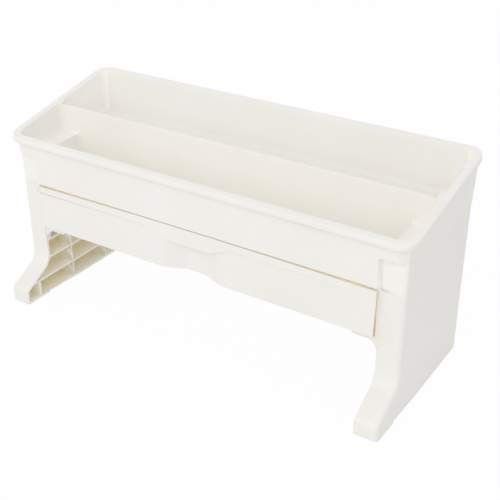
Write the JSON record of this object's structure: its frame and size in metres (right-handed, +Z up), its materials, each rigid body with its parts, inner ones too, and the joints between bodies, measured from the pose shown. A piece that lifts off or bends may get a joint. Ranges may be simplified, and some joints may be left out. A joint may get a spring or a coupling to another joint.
{
  "type": "countertop organiser",
  "caption": "Cream plastic countertop organiser: divided tray with a rim rising to the back, on ribbed legs with flared feet, with a sliding drawer under it.",
  "frame": {"origin": "on the floor, under the middle of the whole object's plan", "axes": "+X to the object's right seen from its front, +Y from the drawer front to the back, +Z up"},
  "size_m": [0.4, 0.1606, 0.1888],
  "materials": {
    "tray": "satin",
    "legs": "satin",
    "drawer": "satin",
    "pads": "matte"
  },
  "bodies": {
    "stand": {"tray": "tray", "left_leg": "legs", "right_leg": "legs", "left_toe_pad": "pads", "left_heel_pad": "pads", "right_toe_pad": "pads", "right_heel_pad": "pads"},
    "drawer": {"drawer": "drawer"}
  },
  "joints": [
    {"name": "drawer_slide", "type": "slide", "parent": "stand", "child": "drawer", "axis": [0, -1, 0], "range_m": [0, 0.08]}
  ]
}
